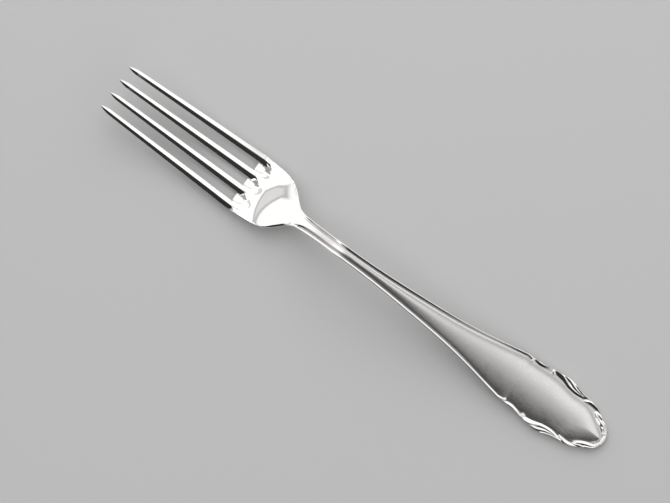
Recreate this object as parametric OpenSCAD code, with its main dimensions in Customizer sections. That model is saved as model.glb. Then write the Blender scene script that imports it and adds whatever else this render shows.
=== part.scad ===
// Table fork with four tines, a threaded stem and a scrolled border round the end of the handle.
// +X runs from the tine tips to the end of the handle, +Y to the right-hand side of someone who
// holds the fork with its tines up, and +Z up from the table that it lies on.
// In the functions, s is the distance behind the tine tips and y the distance from the centre line.

/* [Tines] */
// Length of a tine from its point to the slot end, seen from above
tine_len = 55; // [46:0.1:66]
// Distance between the centres of two tines at their points
tip_pitch = 5.4; // [4.4:0.1:6.5]
// Distance between the centres of two tines at the slot ends
root_pitch = 6.4; // [5.4:0.1:7.6]
// Width of a tine just behind its point
tine_tip_w = 1.9; // [1.5:0.05:2.4]
// Width of a tine at the slot ends
tine_root_w = 3.1; // [2.4:0.05:3.8]
// Thickness of a tine at its point
tine_tip_t = 1.7; // [1.4:0.05:2.1]
// Thickness of a tine at the slot ends
tine_root_t = 2.8; // [2.3:0.05:3.3]
// Length of the ground point of a tine
point_len = 4.4; // [3:0.1:5.5]

/* [Palm] */
// Length of the palm from the slot ends to the neck
palm_len = 20.8; // [17:0.1:25]
// Thickness of the palm where it runs into the neck
palm_t = 3; // [2.5:0.05:3.6]
// How far the edges of the palm rise above its middle
palm_dish = 1.6; // [1.2:0.05:2]
// Length of the bevel behind each slot end
bevel_len = 5.4; // [4.4:0.1:6.4]
// Length of the gouge behind each slot end, at the top of the plate
gouge_len = 5.1; // [4.2:0.1:6]

/* [Neck and stem] */
// Length of the neck from the palm to the stem
neck_len = 14; // [11.5:0.1:17]
// Width of the neck at its narrowest
neck_w = 4.8; // [4:0.05:5.8]
// Height of the thread bed above the back at the neck
neck_bed_t = 3.3; // [2.7:0.05:4]
// Length of the stem from the neck to the handle
stem_len = 42; // [35:0.1:50]

/* [Handle] */
// Length of the handle from the stem to its rounded end
handle_len = 74.2; // [61:0.1:89]
// Width of the rounded end at its widest
end_w = 21.3; // [17.6:0.1:25.4]
// Height of the thread bed above the back at the end of the handle
end_bed_t = 1.7; // [1.4:0.05:2.1]
// Height of the crowned panel above the thread bed
crown_h = 1.1; // [0.9:0.05:1.35]
// Height of the panel's edge above the thread bed
panel_step = 0.22; // [0.16:0.02:0.3]

/* [Border] */
// Width of the raised thread
thread_w = 0.7; // [0.55:0.05:0.85]
// Height of the raised thread above its bed
thread_h = 0.65; // [0.5:0.05:0.8]
// Width of the groove between the thread and the panel
groove_w = 0.35; // [0.25:0.02:0.45]
// Length of the scrolled border at the end of the handle
border_len = 35.7; // [29:0.1:43]
// Height of the scrolls and leaves above their bed
scroll_h = 0.85; // [0.65:0.05:1.05]
// Width of one stroke of a scroll
stroke_w = 1; // [0.8:0.05:1.2]

/* [Side view] */
// Height of the tine points above the table
tip_rise = 12; // [9:0.5:15]
// Distance from the slot ends back to the place where the palm touches the table
belly_back = 2; // [1.6:0.1:2.4]
// Height of the back of the neck above the table
neck_rise = 13.5; // [11:0.5:16]
// Distance from the neck back to the highest place of the arch
arch_back = 8; // [6:0.5:10]
// Length of the flat back under the end of the handle
flat_len = 14; // [11:0.5:17]
// Chamfer along the edges of the palm and the lower edges of the handle
edge_chamfer = 0.5; // [0.4:0.05:0.6]
// Depth ground off the back to make it flat under the end of the handle
seat_cut = 0.1; // [0.08:0.01:0.12]

/* [Hidden] */

bright_silver = [0.88, 0.88, 0.9];
satin_silver = [0.7, 0.7, 0.72];

tine_count = 4;
palm_s = tine_len;
neck_s = palm_s + palm_len;
stem_s = neck_s + neck_len;
handle_s = stem_s + stem_len;
fork_len = handle_s + handle_len;
border_s = fork_len - border_len;
belly_s = palm_s + belly_back;
arch_s = stem_s + arch_back;
flat_s = fork_len - flat_len;
head_w = (tine_count - 1) * root_pitch + tine_root_w;

// A tine's side stands to this share of its thickness, and its top slopes up from there
tine_side_share = 0.6;
// Width of a tine's very point, as a share of its full width
point_share = 0.14;
// Thickness left under the gouge at the slot end, as a share of the plate
slot_web_share = 0.16;
// Size of the gouge at its bottom, as a share of its size at the top of the plate
gouge_floor_share = 0.25;
// Width of the handle where the threads end, as a share of its width at its widest
thread_end_share = 0.873;
// Distance that the border keeps inside the edge of the handle, as a share of a stroke's width
border_inset_share = 0.04;
// Part of the neck over which the thread bed and the crown grow out of the palm
bed_run_share = 0.6;

// Half widths of the palm: place along it, and share of the step from neck to head
palm_shares = [[0, 1], [0.3, 0.968], [0.55, 0.893], [0.68, 0.785], [0.8, 0.579], [0.9, 0.35], [1, 0.155]];
// The same for the neck
neck_shares = [[0.18, 0.06], [0.45, 0.018], [1, 0]];
// Half widths from the neck to the end of the threads, and share of the step to the handle
flare_shares = [[0.12, 0], [0.285, 0.053], [0.455, 0.179], [0.585, 0.297], [0.753, 0.536],
    [0.88, 0.8], [0.96, 0.97], [0.985, 0.995]];
// Half widths of the rounded end: place along the border, and share of half its width
end_shares = [[0, 0.835], [0.06, 0.83], [0.12, 0.858], [0.2, 0.945], [0.3, 0.98], [0.36, 1],
    [0.44, 0.985], [0.52, 0.905], [0.6, 0.845], [0.68, 0.822], [0.77, 0.73], [0.87, 0.56],
    [0.93, 0.43], [0.975, 0.235], [0.993, 0.12], [1, 0.06]];
// Half widths of the crowned panel inside the border
panel_shares = [[0, 0.745], [0.15, 0.77], [0.25, 0.785], [0.35, 0.765], [0.45, 0.705], [0.6, 0.68],
    [0.7, 0.645], [0.77, 0.53], [0.85, 0.375], [0.92, 0.23], [0.955, 0.1], [0.97, 0.02]];
panel_end_share = 0.97;

outline = concat(
    [for (p = palm_shares) [palm_s + p[0] * palm_len, mix(neck_w, head_w, p[1]) / 2]],
    [for (p = neck_shares) [neck_s + p[0] * neck_len, mix(neck_w, head_w, p[1]) / 2]],
    [for (p = flare_shares)
        [mix(stem_s, border_s, p[0]), mix(neck_w, thread_end_share * end_w, p[1]) / 2]],
    [for (p = end_shares) [border_s + p[0] * border_len, p[1] * end_w / 2]]);
panel_outline = [for (p = panel_shares) [border_s + p[0] * border_len, p[1] * end_w / 2]];

function mix(a, b, t) = a + (b - a) * t;
function clamped(t) = max(0, min(1, t));
function smooth(t) = let (c = clamped(t)) c * c * (3 - 2 * c);

// Value at x of a smooth curve through points that are sorted by their first number
function slope(points, i) =
    let (a = points[max(0, i - 1)], b = points[min(len(points) - 1, i + 1)])
    (b[1] - a[1]) / (b[0] - a[0]);
function curve(points, x) =
    let (found = [for (i = [0 : len(points) - 2]) if (i == 0 || points[i][0] <= x) i])
    let (k = found[len(found) - 1], a = points[k], b = points[k + 1], run = b[0] - a[0])
    let (t = clamped((x - a[0]) / run))
    let (m = slope(points, k) * run, n = slope(points, k + 1) * run)
    mix(a[1], b[1], smooth(t)) + t * (1 - t) * (m * (1 - t) - n * t);

// Distance between tine centres and width of a tine
function pitch(s) = mix(tip_pitch, root_pitch, clamped(s / tine_len));
function tine_w(s) = mix(tine_tip_w, tine_root_w, clamped((s - point_len) / (tine_len - point_len)));
function tine_t(s) = mix(tine_tip_t, tine_root_t, clamped(s / tine_len));
// Share of its full width that the ground point has at s
function point_taper(s) = let (t = clamped(s / point_len)) mix(point_share, 1, sqrt(t * (2 - t)));

// Half width of the whole fork
function half_w(s) = s < palm_s ? ((tine_count - 1) * pitch(s) + tine_w(s)) / 2 : curve(outline, s);

// Half width of the crowned panel, which keeps clear of the thread and its groove
function panel_half(s) =
    let (inside = half_w(s) - thread_w - groove_w)
    let (wide = s < border_s ? inside : min(inside, curve(panel_outline, s)))
    max(wide, half_w(s) * (1 - panel_end_share));

// Height of the back above the table on the centre line
function back(s) =
    s < belly_s ? tip_rise * pow((belly_s - s) / belly_s, 2)
    : s < arch_s ? neck_rise * smooth((s - belly_s) / (arch_s - belly_s))
    : mix(-seat_cut, neck_rise, smooth((flat_s - s) / (flat_s - arch_s)));

// Rise of the edges above the middle: the head is dished, and flattens towards tips and neck
function dish(s) =
    palm_dish * smooth(s / palm_s) * (1 - smooth((s - belly_s) / (neck_s - belly_s)));
function back_at(s, y) = back(s) + dish(s) * pow(y / half_w(s), 2);

// How far the thread bed and the crown have grown out of the palm
function bed_growth(s) = smooth((s - neck_s) / (neck_len * bed_run_share));
// How far the upper edge is chamfered down, until the thread takes the chamfer's place
function edge_drop(s) = edge_chamfer * (1 - bed_growth(s));
// Height of the thread bed above the back
function bed_t(s) =
    mix(palm_t, mix(neck_bed_t, end_bed_t, smooth((s - stem_s) / (border_s - stem_s))), bed_growth(s));
// Height of the panel above the thread bed
function crown(s, y) =
    let (p = panel_half(s), lost = s > mix(border_s, fork_len, panel_end_share))
    bed_growth(s) * (lost ? 0 : mix(panel_step, crown_h, 1 - pow(y / p, 2)));

// Closed solid through rings of points that all lie in planes across X and have the same count
module loft(rings) {
    n = len(rings[0]);
    last = len(rings) - 1;
    sides = [for (i = [0 : last - 1], j = [0 : n - 1])
        let (a = i * n + j, b = i * n + (j + 1) % n)
        each [[a, a + n, b + n], [a, b + n, b]]];
    front = [for (j = [0 : n - 1]) j];
    rear = [for (j = [n - 1 : -1 : 0]) last * n + j];
    polyhedron(points = [for (ring = rings, p = ring) p], faces = concat([front, rear], sides));
}

// Evenly spaced places from one place to another
function places(from, to, steps) = [for (i = [0 : steps]) mix(from, to, i / steps)];
// Places that crowd towards the second one
function crowded_places(from, to, steps) = [for (i = [0 : steps]) mix(from, to, sin(90 * i / steps))];

// One ring of a tine: flat back, short sides and a top that slopes up to a ridge
tine_ring_shares = [[-0.8, 0], [0.8, 0], [1, 0.1], [1, tine_side_share],
    [0.55, mix(tine_side_share, 1, 0.53)], [0.1, 1], [-0.1, 1],
    [-0.55, mix(tine_side_share, 1, 0.53)], [-1, tine_side_share], [-1, 0.1]];
function tine_ring(s, side) =
    let (taper = point_taper(s), middle = side * pitch(s), t = tine_t(s))
    [for (p = tine_ring_shares)
        let (y = middle + p[0] * taper * tine_w(s) / 2)
        [s, y, back_at(s, y) + t * (1 - taper) / 2 + p[1] * t * taper]];

// side counts tine pitches from the centre line
module tine(side) {
    point_places = crowded_places(point_len, 0, 5);
    reversed = [for (i = [len(point_places) - 1 : -1 : 0]) point_places[i]];
    shaft = places(point_len, tine_len, 12);
    stations = concat(reversed, [for (i = [1 : len(shaft) - 1]) shaft[i]]);
    loft([for (s = stations) tine_ring(s, side)]);
}

// One ring of the palm before its bevels: a curved plate with chamfered edges
palm_width_shares = [-1, -0.8, -0.6, -0.4, -0.2, 0, 0.2, 0.4, 0.6, 0.8, 1];
function plate_t(s) = mix(tine_root_t, palm_t, smooth((s - palm_s) / palm_len));
function palm_ring(s) =
    let (w = half_w(s), t = plate_t(s), z = back_at(s, w), count = len(palm_width_shares))
    let (lower = w - edge_chamfer, upper = w - thread_w)
    concat(
        [for (k = palm_width_shares) [s, k * lower, back_at(s, k * lower)]],
        [[s, w, z + edge_chamfer], [s, w, z + t - edge_chamfer]],
        [for (i = [count - 1 : -1 : 0]) let (y = palm_width_shares[i] * upper) [s, y, back_at(s, y) + t]],
        [[s, -w, z + t - edge_chamfer], [s, -w, z + edge_chamfer]]);

// Thin ellipse at one height of a hollow round a slot end, by its half length and half width
module hollow_level(along, across, share) {
    translate([0, 0, share * tine_root_t]) resize([2 * along, 2 * across, 0])
        cylinder(h = tine_root_t / 100, r = bevel_len, $fn = 40);
}

// Bevel round the slot end. Its flanks meet those of the next bevel on a tine's ridge.
wall_share = 1 - tine_root_w / root_pitch;
bevel_over_share = 1 + (1 - wall_share) * tine_side_share / (1 - tine_side_share);
module bevel_form() {
    hull() {
        hollow_level(wall_share * bevel_len, wall_share * root_pitch / 2, tine_side_share);
        hollow_level(bevel_over_share * bevel_len, bevel_over_share * root_pitch / 2,
            1 + tine_side_share);
    }
}

// Steeper gouge inside the bevel, as wide as the slot where the bevel starts. Its floor leaves a
// thin web at the slot end.
gouge_wall_share = mix(gouge_floor_share, 1,
    (tine_side_share - slot_web_share) / (1 - slot_web_share));
gouge_half = wall_share * root_pitch / 2 / gouge_wall_share;
module gouge_form() {
    hull() {
        hollow_level(gouge_floor_share * gouge_len, gouge_floor_share * gouge_half, slot_web_share);
        hollow_level(gouge_len, gouge_half, 1);
    }
}

// Hollows behind the slot end at a number of pitches from the centre line. The outermost two lie
// beside the head, where they only bevel its corners.
module slot_hollow(slot) {
    y = slot * root_pitch;
    lean = atan(2 * dish(palm_s) * y / pow(half_w(palm_s), 2));
    translate([palm_s, y, back_at(palm_s, y)]) rotate([lean, 0, 0]) {
        bevel_form();
        if (abs(slot) < tine_count / 2) {
            gouge_form();
        }
    }
}

module palm() {
    stations = places(palm_s, neck_s, 14);
    color(bright_silver) difference() {
        loft([for (s = stations) palm_ring(s)]);
        for (slot = [-tine_count / 2 : tine_count / 2]) {
            slot_hollow(slot);
        }
    }
}

// One ring of neck, stem and handle: flat back with chamfers, thread bed, groove and crowned panel
crown_shares = [1, 0.75, 0.5, 0.25, 0, -0.25, -0.5, -0.75, -1];
function blank_ring(s) =
    let (w = half_w(s), p = panel_half(s), c = min(edge_chamfer, w / 3), z = back(s))
    let (groove = mix(p, w, min(0.5, groove_w / (w - p))))
    let (bed = z + bed_t(s), edge = bed - edge_drop(s))
    concat(
        [[s, -w + c, z], [s, w - c, z], [s, w, z + c], [s, w, edge], [s, groove, bed]],
        [for (k = crown_shares) [s, k * p, bed + crown(s, k * p)]],
        [[s, -groove, bed], [s, -w, edge], [s, -w, z + c]]);

neck_places = places(neck_s, stem_s, 9);
stem_places = places(stem_s, handle_s, 11);
handle_places = concat(
    places(handle_s, border_s - thread_w, 10),
    crowded_places(border_s, fork_len, 26));

module neck() {
    color(satin_silver) loft([for (s = neck_places) blank_ring(s)]);
}

module stem() {
    color(satin_silver) loft([for (s = stem_places) blank_ring(s)]);
}

// The handle is ground flat where it lies on the table
module handle() {
    color(satin_silver) difference() {
        loft([for (s = handle_places) blank_ring(s)]);
        translate([handle_s, -end_w, -fork_len]) cube([2 * handle_len, 2 * end_w, fork_len]);
    }
}

// Border pieces are made on the right-hand side and mirrored for the left
module on_side(side) {
    mirror([0, side == "left" ? 1 : 0, 0]) children();
}

// Places of the thread, which starts where its bed has begun to sink below the panel
hook_start = border_s - 3 * thread_w;
thread_places = concat(
    [for (i = [1 : len(neck_places) - 1]) neck_places[i]],
    [for (i = [1 : len(stem_places) - 1]) stem_places[i]],
    [for (s = handle_places) if (s > handle_s && s < hook_start - thread_w) s],
    [hook_start]);

// Section of the thread: share of its width in from the edge, and share of its height
thread_ring_shares = [[1, 0], [0, 0], [0, 0.5], [0.2, 0.88], [0.5, 1], [0.8, 0.88], [0.96, 0.5]];
function thread_ring(s) =
    let (w = half_w(s), bed = back(s) + bed_t(s), drop = edge_drop(s), h = thread_h * bed_growth(s))
    [for (p = thread_ring_shares) [s, w - p[0] * thread_w, bed - (1 - p[0]) * drop + p[1] * h]];

// The curl at the thread's end: distance before the end of the threads and in from the edge,
// both as shares of the thread's width
hook_shares = [[3, 0.5], [2, 0.5], [1.2, 0.62], [0.62, 0.95], [0.42, 1.5], [0.6, 2.1]];

// Button of a stroke: a short upright foot that stands a little in the bed, then sloping sides
module button(x, y, w, h) {
    bed = back(x) + bed_t(x);
    sink = h / 2;
    foot = h / 6;
    translate([x, y, bed - sink]) cylinder(h = sink + foot, r = w / 2, $fn = 8);
    translate([x, y, bed + foot]) cylinder(h = h - foot, r1 = w / 2, r2 = w / 5, $fn = 8);
}

// Row of buttons blended one to the next along a smooth curve through [x, y, width, height] points
module stroke(points, steps) {
    last = len(points) - 1;
    function at(t, axis) = curve([for (i = [0 : last]) [i, points[i][axis]]], t * last);
    for (i = [0 : steps - 1]) {
        hull() {
            button(at(i / steps, 0), at(i / steps, 1), at(i / steps, 2), at(i / steps, 3));
            button(at((i + 1) / steps, 0), at((i + 1) / steps, 1), at((i + 1) / steps, 2),
                at((i + 1) / steps, 3));
        }
    }
}

// Upright block over the end of the handle, just inside its edge, that trims the border
module end_block() {
    inset = border_inset_share * stroke_w;
    stations = crowded_places(border_s - 5 * thread_w, fork_len - inset, 31);
    linear_extrude(neck_rise) polygon(concat(
        [for (s = stations) [s, half_w(s) - inset]],
        [for (i = [len(stations) - 1 : -1 : 0]) [stations[i], inset - half_w(stations[i])]]));
}

// Piece of the border: the part of the first child that stands over the handle, without the higher
// neighbours that it runs into, which are the other children
module border_piece(side) {
    color(bright_silver) on_side(side) difference() {
        intersection() {
            children(0);
            end_block();
        }
        handle();
        if ($children > 1) {
            children([1 : $children - 1]);
        }
    }
}

// Strokes from tables of [place along the border, share of half the end's width, share of a stroke]
module border_stroke(shares, steps) {
    stroke([for (p = shares)
        [border_s + p[0] * border_len, p[1] * end_w / 2, p[2] * stroke_w, p[3] * scroll_h]], steps);
}

module hook() {
    stroke([for (p = hook_shares)
        let (x = border_s - p[0] * thread_w)
        [x, half_w(min(x, border_s - 2 * thread_w)) - p[1] * thread_w, thread_w, thread_h]], 9);
}

module thread(side) {
    color(bright_silver) on_side(side) loft([for (s = thread_places) thread_ring(s)]);
    border_piece(side) hook();
}

bracket_shares = [[0.015, 0.82, 0.9, 0.9], [0.06, 0.785, 1.1, 1], [0.11, 0.805, 1.1, 1],
    [0.16, 0.86, 1, 0.9], [0.205, 0.915, 0.6, 0.7]];
module bracket_form() {
    border_stroke(bracket_shares, 9);
}

module bracket(side) {
    border_piece(side) {
        bracket_form();
        hook();
        leaf_form();
    }
}

// Low swelling that carries the leaf, then the curl at its start, which runs out along the edge and
// turns in as the first finger, and two more fingers that leave the edge and run back to the tail
leaf_base_shares = [[0.238, 0.87, 1.4, 0.45], [0.35, 0.87, 2.2, 0.5], [0.45, 0.83, 2.6, 0.5],
    [0.55, 0.77, 2, 0.45], [0.62, 0.78, 0.9, 0.4]];
leaf_finger_shares = [
    [[0.245, 0.81, 1.1, 1], [0.222, 0.83, 1, 1], [0.214, 0.885, 0.9, 1], [0.24, 0.925, 1, 1],
        [0.285, 0.935, 1.1, 1], [0.32, 0.93, 1.2, 0.95], [0.36, 0.885, 1.2, 0.9],
        [0.41, 0.815, 1.2, 0.8], [0.47, 0.755, 0.7, 0.6]],
    [[0.335, 0.965, 0.6, 0.8], [0.38, 0.95, 1, 1], [0.43, 0.9, 1.4, 0.95], [0.49, 0.825, 1.4, 0.85],
        [0.55, 0.765, 1.1, 0.75], [0.6, 0.74, 0.6, 0.6]],
    [[0.455, 0.925, 0.6, 0.8], [0.49, 0.89, 1, 0.95], [0.55, 0.835, 1.2, 0.9],
        [0.6, 0.805, 1, 0.8], [0.65, 0.79, 0.6, 0.6]]];
module leaf_form() {
    border_stroke(leaf_base_shares, 5);
    for (finger = leaf_finger_shares) {
        border_stroke(finger, 2 * len(finger) - 3);
    }
}

module leaf(side) {
    border_piece(side) {
        leaf_form();
        scroll_form();
    }
}

scroll_shares = [[0.61, 0.685, 0.5, 0.65], [0.64, 0.725, 1, 0.95], [0.68, 0.745, 1.4, 1],
    [0.73, 0.725, 1.4, 1], [0.77, 0.675, 1.2, 0.9], [0.81, 0.615, 0.6, 0.6]];
module scroll_form() {
    border_stroke(scroll_shares, 10);
}

module scroll(side) {
    border_piece(side) {
        scroll_form();
        end_leaf_form();
    }
}

// Leaf cluster at the end: a short outer finger, a broad one that ends in a knob beside the shell,
// and one along the edge
end_leaf_shares = [
    [[0.78, 0.595, 0.6, 0.8], [0.815, 0.565, 1, 0.9], [0.85, 0.53, 0.9, 0.85], [0.875, 0.5, 0.5, 0.6]],
    [[0.775, 0.555, 0.7, 0.8], [0.81, 0.47, 1.4, 0.95], [0.86, 0.39, 1.8, 1], [0.91, 0.325, 1.4, 0.95],
        [0.945, 0.245, 1.1, 0.95], [0.955, 0.19, 1.2, 0.95]],
    [[0.85, 0.487, 0.9, 0.75], [0.88, 0.455, 1, 0.85], [0.91, 0.42, 1.1, 0.9], [0.945, 0.34, 0.8, 0.7]]];
module end_leaf_form() {
    for (finger = end_leaf_shares) {
        border_stroke(finger, 2 * len(finger) - 3);
    }
}

module end_leaf(side) {
    border_piece(side) end_leaf_form();
}

// Crescent over the very end
shell_shares = [[0.981, -0.16, 0.5, 0.6], [0.978, -0.08, 1, 0.9], [0.976, 0, 1.4, 1],
    [0.978, 0.08, 1, 0.9], [0.981, 0.16, 0.5, 0.6]];
module end_shell() {
    border_piece("right") {
        border_stroke(shell_shares, 8);
        end_leaf_form();
        on_side("left") end_leaf_form();
    }
}

module tine_at(number) {
    color(bright_silver) tine(number - (tine_count + 1) / 2);
}

// The model's origin is under the middle of the fork, on the table
module placed() {
    translate([-fork_len / 2, 0, 0]) children();
}

placed() tine_at(1);  // tine_1
placed() tine_at(2);  // tine_2
placed() tine_at(3);  // tine_3
placed() tine_at(4);  // tine_4
placed() palm();
placed() neck();
placed() stem();
placed() handle();
placed() thread("left");  // thread_left
placed() thread("right");  // thread_right
placed() bracket("left");  // bracket_left
placed() bracket("right");  // bracket_right
placed() leaf("left");  // leaf_left
placed() leaf("right");  // leaf_right
placed() scroll("left");  // scroll_left
placed() scroll("right");  // scroll_right
placed() end_leaf("left");  // end_leaf_left
placed() end_leaf("right");  // end_leaf_right
placed() end_shell();
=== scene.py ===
"""A table fork with four tines, threaded edges and a scrolled border, in polished and satin silver.

Every named region of the fork is a closed piece of its own. In the code, s is the distance behind
the tine tips, y the distance from the centre line and d the distance in from the handle's edge.
"""

import math

import bmesh
import bpy
import numpy as np
from bpy.props import FloatProperty, FloatVectorProperty, IntProperty, PointerProperty
from mathutils import Matrix, Vector
from mathutils.kdtree import KDTree


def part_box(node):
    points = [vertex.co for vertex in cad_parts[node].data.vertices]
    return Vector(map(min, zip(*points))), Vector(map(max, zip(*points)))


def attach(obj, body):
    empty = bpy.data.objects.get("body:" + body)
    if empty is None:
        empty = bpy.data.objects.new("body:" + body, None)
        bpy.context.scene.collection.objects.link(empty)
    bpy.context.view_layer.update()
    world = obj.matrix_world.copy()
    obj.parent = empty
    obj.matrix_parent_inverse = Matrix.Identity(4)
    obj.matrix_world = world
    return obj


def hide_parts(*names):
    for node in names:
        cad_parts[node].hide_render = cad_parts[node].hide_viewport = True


bl_info = {
    "name": "Table Fork",
    "version": (1, 0, 0),
    "blender": (4, 5, 0),
    "location": "View3D > Sidebar > Fork",
    "description": "Models a silver table fork with a scrolled border, and the table it lies on",
    "category": "Add Mesh",
}

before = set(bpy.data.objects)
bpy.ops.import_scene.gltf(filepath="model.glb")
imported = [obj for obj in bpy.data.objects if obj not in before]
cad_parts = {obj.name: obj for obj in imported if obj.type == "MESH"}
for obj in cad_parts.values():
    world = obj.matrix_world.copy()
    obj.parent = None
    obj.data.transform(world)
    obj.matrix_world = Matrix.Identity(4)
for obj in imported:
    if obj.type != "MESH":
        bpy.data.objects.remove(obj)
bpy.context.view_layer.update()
MM = 0.001
# A thousandth of a millimetre, against dividing by nothing
TINY = 1e-6

TIP_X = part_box("tine_1")[0].x
PALM_S, NECK_S, STEM_S, HANDLE_S = (
    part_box(node)[0].x - TIP_X for node in ("palm", "neck", "stem", "handle"))
END_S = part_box("handle")[1].x - TIP_X
HEAD_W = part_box("palm")[1].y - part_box("palm")[0].y
END_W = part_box("handle")[1].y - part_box("handle")[0].y

# Tables of half widths: place along the region, and share of the step across it
PALM_SHARES = [(0.3, 0.968), (0.55, 0.893), (0.68, 0.785), (0.8, 0.579), (0.9, 0.35), (1, 0.155)]
NECK_SHARES = [(0.18, 0.06), (0.45, 0.018), (1, 0)]
FLARE_SHARES = [(0.12, 0), (0.285, 0.053), (0.455, 0.179), (0.585, 0.297), (0.753, 0.536),
                (0.88, 0.8), (0.96, 0.97), (0.985, 0.995)]
END_SHARES = [(0, 0.85), (0.06, 0.872), (0.12, 0.882), (0.2, 0.937), (0.3, 0.97), (0.36, 1),
              (0.44, 0.972), (0.52, 0.9), (0.6, 0.853), (0.68, 0.815), (0.77, 0.727),
              (0.87, 0.55), (0.93, 0.43), (0.975, 0.262)]
PANEL_SHARES = [(0, 0.745), (0.15, 0.77), (0.25, 0.785), (0.35, 0.765), (0.45, 0.705),
                (0.6, 0.68), (0.7, 0.645), (0.77, 0.53), (0.85, 0.375), (0.92, 0.23),
                (0.955, 0.1), (0.97, 0.02)]
# Heights as shares of the plate's thickness: a tine's sides, and the web left at a slot end
SIDE_SHARE = 0.6
WEB_SHARE = 0.13
# Tines: power by which a point tapers, share of the edge rounding at their side corners, and share
# of the ridge's rounding at the tips
TAPER_POWER, TINE_CORNER_SHARE, TIP_RIDGE_SHARE = 0.9, 0.08, 0.25
# Drop of a rounded corner below its surface, as a share of its radius, and its growth on the palm
CORNER_DROP, CORNER_GROWTH = 0.6, 1.66
# Lower edges: share of the edge rounding there, and the most of a tine's half width that it takes
LOW_ROUND_SHARE, LOW_ROUND_LIMIT = 0.9, 0.5
# Ramp behind each slot end: shares of the slot's width, of the gouge's length and of the rise,
# power that squares its corners, and where and how steeply its floor turns up into a wall
RAMP_W_SHARE, RAMP_LEN_SHARE, RAMP_RISE_SHARE = 0.92, 0.86, 0.98
RAMP_POWER, RAMP_WALL_SHARE, RAMP_WALL_SLOPE = 3, 0.8, 2.2
# Share of the neck over which the bed, the threads and the crown grow out of the palm
GROWTH_SHARE = 0.45
# Places from the neck's start: where the bevel along the shoulders grows and where it fades, and
# where the neck's sides round off
BEVEL_GROWS = (-9 * MM, -4 * MM)
BEVEL_FADES = (-2.5 * MM, 1.5 * MM)
BEVEL_SLOPE = 0.5
NECK_ROUNDS = (-2 * MM, 3 * MM)
# Places from the end: where the crown turns from flat to peaked, and where it stops
CROWN_PEAKS = (-13.5 * MM, -4.5 * MM)
CROWN_STOPS = (-2.1 * MM, -0.9 * MM)
# Powers by which the crown falls, flat and peaked, then the power and share of the fall at its rim
CROWN_POWERS = (2.2, 1.5)
RIM_POWER, RIM_SHARE = 8, 0.35
# Threads and strokes: slope of their flanks, and radius of their outer corner
FLANK, CORNER_R = 0.6, 0.07 * MM
# Threads: where they start along the neck, place of their crest as a share of their width, its
# radius, and how far their foot lies below the bed and in from the edge
THREAD_START, CREST_SHARE, CREST_R = 0.1, 0.36, 0.06 * MM
THREAD_FOOT, THREAD_INSET = 0.3 * MM, 0.25 * MM
# Strokes: radius of their crest, slope beyond their reach, height over which two run together,
# depth below the bed where there is none, and their foot as on the threads
STROKE_CREST_R, STROKE_SIDE, STROKE_BLEND = 0.1 * MM, 3, 0.07 * MM
STROKE_SINK, STROKE_FOOT, STROKE_INSET = 0.4 * MM, 0.45 * MM, 0.3 * MM
# Satin: where it sets in behind the neck's start, width along the edge that stays polished, as a
# share of the thread's, and its soft border
SATIN_STARTS = (4 * MM, 13 * MM)
BARE_SHARE, BARE_FADE = 0.9, 0.3 * MM
# Points round a lower edge, across a tine, across the palm, and in one part of a stroke
ROUND_POINTS, TINE_POINTS, PALM_POINTS, STROKE_STEPS = 9, 61, 361, 24
# Scales of the noise behind clouds, hairs and brush lines, and how the last two are drawn out
CLOUD_SCALE, HAIR_SCALE, BRUSH_SCALE = 160.0, 9000.0, 5200.0
HAIR_STRETCH, BRUSH_STRETCH, HAIR_TURN = 0.12, 0.03, 0.35
# What clouds, hairs and brush lines add to the roughness, and the mean of it on polish and satin
CLOUD_ROUGH, HAIR_ROUGH, BRUSH_ROUGH = 0.05, 0.03, 0.16
POLISH_MEAN, SATIN_MEAN = 0.04, 0.1
# Strength of the bump on polish and on satin, and its depth
HAIR_BUMP, BRUSH_BUMP, BUMP_DEPTH = 0.04, 0.12, 0.04 * MM

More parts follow.
